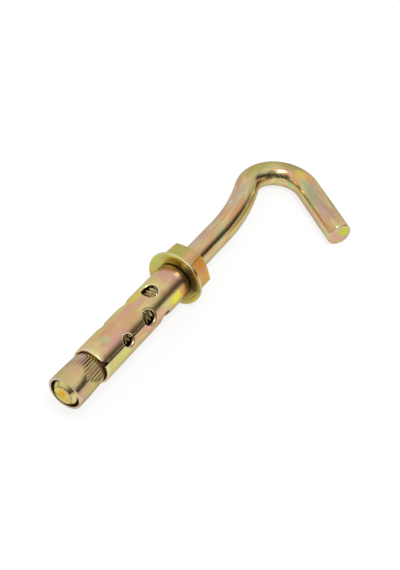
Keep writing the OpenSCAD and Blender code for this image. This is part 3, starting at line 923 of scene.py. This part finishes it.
class ANCHOR_OT_cone_nut(bpy.types.Operator):
    """Builds the cone nut: turned from bar, its taper straight-knurled"""
    bl_idname = "anchor.cone_nut"
    bl_label = "Cone nut"

    def execute(self, context):
        s = sizes()
        mouth = (-s.sleeve_play - s.sleeve_l) / MM
        inner, outer = mouth + s.cone_in / MM, mouth + (s.cone_in - s.cone_l) / MM
        r, sh, lead, bore_r = (s.cone_d / 2 - s.hair) / MM, s.shoulder_d / 2 / MM, s.lead_d / 2 / MM, 3.95
        taper, shoulder = outer + s.cone_plain_l / MM, mouth - s.shoulder_x / MM
        rows = [(taper + (shoulder - taper) * i / 16, r + (sh - r) * i / 16) for i in range(17)]
        outline = [(outer, bore_r + 0.1), (outer, r - 0.26), (outer + 0.05, r - 0.12), (outer + 0.15, r - 0.03),
                   (outer + 0.3, r), *rows, (shoulder + 0.06, sh - 0.03), (shoulder + 0.25, sh - 0.12),
                   (mouth - 0.25, lead + 0.1), (mouth, lead), (inner - 0.15, lead), (inner, lead - 0.12),
                   (inner, bore_r), (outer + 0.1, bore_r)]
        cone = turn("knurled_cone", outline, steps=288)
        depth_mm, pitch_a = s.knurl_depth / MM, math.tau / s.knurl_n

        def knurled(x, spin, rad):
            at = (x / MM - taper) / (shoulder - taper)
            if at <= 0 or rad < (lead + 0.01) * MM or x / MM > mouth - 0.01:
                return rad
            groove = math.floor(spin / pitch_a)
            start = 0.02 + 0.3 * abs(math.sin(groove * 12.9898 + 4.1)) ** 1.3
            fade = min(max((at - start) / 0.3, 0), 1)
            if x / MM > shoulder:
                fade *= max(0, 1 - (x / MM - shoulder) / (mouth - shoulder)) ** 0.5
            place = abs((spin / pitch_a) % 1 - 0.5) * 2
            shape = max(0, 1 - place / 0.7)
            deep = s.knurl_depth * (1.0 + 0.25 * math.sin(groove * 7.233))
            return rad - deep * fade * shape

        reshape(cone, radial(knurled))
        start = -s.bolt_end - 1.6 * s.pitch
        first = math.ceil(((outer + 0.55) * MM - start) / s.pitch)
        join(cone, nut_thread("cone_ridge", start + first * s.pitch, 7, bore_r * MM))
        smooth(cone, 26)

        def depth(point):
            """Painted shade in the bore, on the part inside the sleeve and in the grooves by how far they are cut in,
            heavier from 120 degrees about the axis on.
            """
            rad = math.hypot(point.y, point.z)
            if point.x < taper:
                return 0.9 if rad < bore_r + 0.08 else 0.0
            # Painted shade in the bore and on the part inside the sleeve
            if rad < bore_r + 0.1 or point.x > mouth - 0.02:
                return 0.9
            at = min(max((point.x - taper) / (shoulder - taper), 0), 1)
            # The painted shade is heavier from 120 degrees about the axis on
            right = min(max((math.degrees(math.atan2(point.z, point.y)) % 360 - 60) / 60, 0), 1)
            if point.x < shoulder:
                return (0.3 + 0.5 * right) * (r + (sh - r) * at - rad) / depth_mm
            return 0.1 + 0.6 * right ** 3

        remember(cone, film_shade_and_sheen=depth)
        lie_down(cone)
        dress(cone, cone_finish(), "cone_nut")
        return {"FINISHED"}


class ANCHOR_OT_stage(bpy.types.Operator):
    """Sets the floor, the lights, the surroundings and the camera"""
    bl_idname = "anchor.stage"
    bl_label = "Stage"

    def execute(self, context):
        self.floor()
        self.surroundings(context.scene)
        self.lamp("window", (-0.165, -0.227, 0.641), 0.22, 2.6)
        self.camera(context.scene)
        context.scene.view_settings.view_transform = "Standard"
        return {"FINISHED"}

    def floor(self):
        deselect()
        bpy.ops.mesh.primitive_plane_add(size=6, location=(0, 0, CAD_BOX[0][2]))
        floor = bpy.context.object
        floor.name = "floor"
        finish_transform(floor)
        material, tree = new_material("white card")
        ray = add(tree, "ShaderNodeLightPath")
        either = add(tree, "ShaderNodeMath", [(0, ray, "Is Camera Ray"), (1, ray, "Is Glossy Ray")], operation="MAXIMUM")
        paper = add(tree, "ShaderNodeBsdfDiffuse", Color=(*colours().paper, 1))
        white = add(tree, "ShaderNodeEmission", Color=(1, 1, 1, 1), Strength=1.0)
        shadow = add(tree, "ShaderNodeMath", [(0, either, "Value")], operation="MULTIPLY", values={1: 0.8})
        mixed = add(tree, "ShaderNodeMixShader", [(0, shadow, "Value"), (1, paper, "BSDF"), (2, white, "Emission")])
        add(tree, "ShaderNodeOutputMaterial", [("Surface", mixed, "Shader")])
        floor.data.materials.append(material)

    def surroundings(self, scene):
        """A white tent with a dark opening low on the near right side, which gives the round
        metal its long dark reflection, and a thin dark line where the tent meets the floor."""
        world = bpy.data.worlds.new("white tent")
        world.use_nodes = True
        tree = world.node_tree
        tree.nodes.clear()
        way = add(tree, "ShaderNodeTexCoord")
        parts = add(tree, "ShaderNodeSeparateXYZ", [("Vector", way, "Generated")])
        rise = add(tree, "ShaderNodeMath", [(0, parts, "Z")], operation="ARCSINE")
        spin = add(tree, "ShaderNodeMath", [(0, parts, "Y"), (1, parts, "X")], operation="ARCTAN2")
        off = add(tree, "ShaderNodeMath", [(0, spin, "Value")], operation="ADD", values={1: math.radians(108)})
        off = add(tree, "ShaderNodeMath", [(0, off, "Value")], operation="WRAP", values={1: math.pi, 2: -math.pi})
        side = add(tree, "ShaderNodeMath", [(0, off, "Value")], operation="ABSOLUTE")
        facing = add(tree, "ShaderNodeMapRange", [("Value", side, "Value")], interpolation_type="SMOOTHSTEP",
                     From_Min=math.radians(76), From_Max=math.radians(96), To_Min=1.0, To_Max=0.0)
        low = add(tree, "ShaderNodeMapRange", [("Value", rise, "Value")], interpolation_type="SMOOTHSTEP",
                  From_Min=math.radians(4), From_Max=math.radians(10))
        high = add(tree, "ShaderNodeMapRange", [("Value", rise, "Value")], interpolation_type="SMOOTHSTEP",
                   From_Min=math.radians(22), From_Max=math.radians(46), To_Min=1.0, To_Max=0.0)
        band = add(tree, "ShaderNodeMath", [(0, low, "Result"), (1, high, "Result")], operation="MULTIPLY")
        opening = add(tree, "ShaderNodeMath", [(0, band, "Value"), (1, facing, "Result")], operation="MULTIPLY")
        level = add(tree, "ShaderNodeMath", [(0, rise, "Value")], operation="SUBTRACT", values={1: math.radians(2)})
        level = add(tree, "ShaderNodeMath", [(0, level, "Value")], operation="ABSOLUTE")
        line = add(tree, "ShaderNodeMapRange", [("Value", level, "Value")], interpolation_type="SMOOTHSTEP",
                   From_Min=math.radians(2.5), From_Max=math.radians(5), To_Min=1.0, To_Max=0.0)
        behind = add(tree, "ShaderNodeMath", [(0, spin, "Value")], operation="SUBTRACT", values={1: math.radians(115)})
        behind = add(tree, "ShaderNodeMath", [(0, behind, "Value")], operation="ABSOLUTE")
        behind = add(tree, "ShaderNodeMapRange", [("Value", behind, "Value")], interpolation_type="SMOOTHSTEP",
                     From_Min=math.radians(20), From_Max=math.radians(36), To_Min=1.0, To_Max=0.0)
        line = add(tree, "ShaderNodeMath", [(0, line, "Result"), (1, behind, "Result")], operation="MULTIPLY")
        dark = add(tree, "ShaderNodeMath", [(0, opening, "Value"), (1, line, "Value")], operation="MAXIMUM")
        shade = add(tree, "ShaderNodeValToRGB", [("Fac", dark, "Value")],
                    [(0.0, linear("#f8f8f8")), (1.0, linear("#3a352d"))])
        ray = add(tree, "ShaderNodeLightPath")
        seen = add(tree, "ShaderNodeMix", [(0, ray, "Is Camera Ray"), (6, shade, "Color")], data_type="RGBA",
                   values={7: (1, 1, 1, 1)})
        sky = add(tree, "ShaderNodeBackground", [("Color", seen, 2)], Strength=1.0)
        add(tree, "ShaderNodeOutputWorld", [("Surface", sky, "Background")])
        scene.world = world

    def lamp(self, name, place, size, power):
        deselect()
        bpy.ops.object.light_add(type="AREA", location=place)
        lamp = bpy.context.object
        lamp.name = name
        lamp.data.shape, lamp.data.size, lamp.data.energy = "SQUARE", size, power
        lamp.rotation_euler = (-Vector(place)).to_track_quat("-Z", "Y").to_euler()

    def camera(self, scene):
        """The camera's place, found by matching the rod, nut and sleeve to the photograph."""
        deselect()
        bpy.ops.object.camera_add(location=(-0.145287, -0.093766, 0.190561),
                                  rotation=[math.radians(a) for a in (41.9105, -1.3352, -57.8811)])
        camera = bpy.context.object
        camera.data.lens, camera.data.sensor_width, camera.data.sensor_fit = 63.2313, 36, "AUTO"
        camera.data.clip_start, camera.data.clip_end = 0.01, 20
        scene.camera = camera


class ANCHOR_PT_sidebar(bpy.types.Panel):
    """Lists the anchor's pieces in the sidebar"""
    bl_idname = "ANCHOR_PT_sidebar"
    bl_label = "Hook anchor bolt"
    bl_space_type = "VIEW_3D"
    bl_region_type = "UI"
    bl_category = "Anchor"

    def draw(self, context):
        for operator in PIECES + (ANCHOR_OT_stage,):
            self.layout.operator(operator.bl_idname)
        for group in (sizes(), colours()):
            box = self.layout.box()
            for name in type(group).__annotations__:
                box.prop(group, name)


PIECES = (ANCHOR_OT_bolt, ANCHOR_OT_flange_nut, ANCHOR_OT_sleeve, ANCHOR_OT_cone_nut)
CLASSES = (AnchorSizes, AnchorColours) + PIECES + (ANCHOR_OT_stage, ANCHOR_PT_sidebar)


def register():
    for cls in CLASSES:
        bpy.utils.register_class(cls)
    bpy.types.Scene.anchor_sizes = bpy.props.PointerProperty(type=AnchorSizes)
    bpy.types.Scene.anchor_colours = bpy.props.PointerProperty(type=AnchorColours)


def unregister():
    del bpy.types.Scene.anchor_colours, bpy.types.Scene.anchor_sizes
    for cls in reversed(CLASSES):
        bpy.utils.unregister_class(cls)


def main():
    register()
    bpy.ops.anchor.stage()
    bpy.ops.anchor.bolt()
    bpy.ops.anchor.flange_nut()
    bpy.ops.anchor.sleeve()
    bpy.ops.anchor.cone_nut()


if __name__ == "__main__":
    main()
